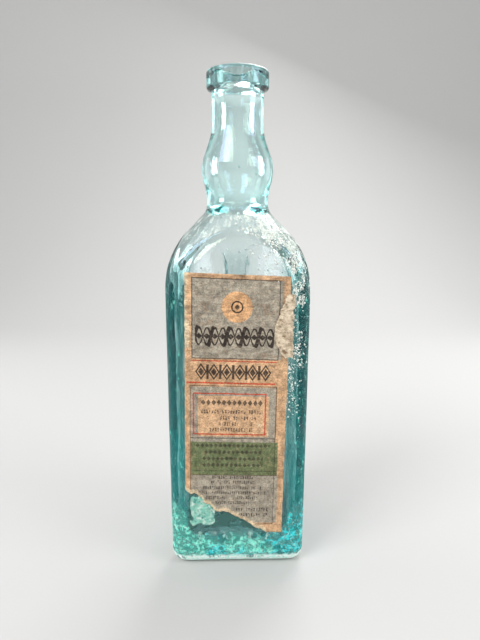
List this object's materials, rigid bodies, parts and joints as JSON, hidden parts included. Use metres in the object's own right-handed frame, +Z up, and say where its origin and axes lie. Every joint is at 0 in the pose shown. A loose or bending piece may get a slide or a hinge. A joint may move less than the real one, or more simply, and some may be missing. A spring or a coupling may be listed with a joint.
{
  "type": "essence bottle",
  "caption": "Triangular hollow glass bottle for vinegar essence, with arch-topped flat faces, ribbed rear faces, a bulged neck, a collared cork mouth and a worn paper label",
  "frame": {"origin": "on the surface that the bottle stands on, under the middle of its footprint's box; the neck's axis is the vertical line at Y = -0.00595", "axes": "+Z up along the neck, -Y is the way the label faces, +X is to the right of someone who reads the label"},
  "size_m": [0.0584, 0.0538, 0.2065],
  "materials": {
    "aqua_glass": "gloss",
    "printed_paper": "matte",
    "blank_paper": "matte"
  },
  "bodies": {
    "root": {"bottle": "aqua_glass", "front_label": "printed_paper", "paper_remnant": "blank_paper"}
  },
  "joints": []
}
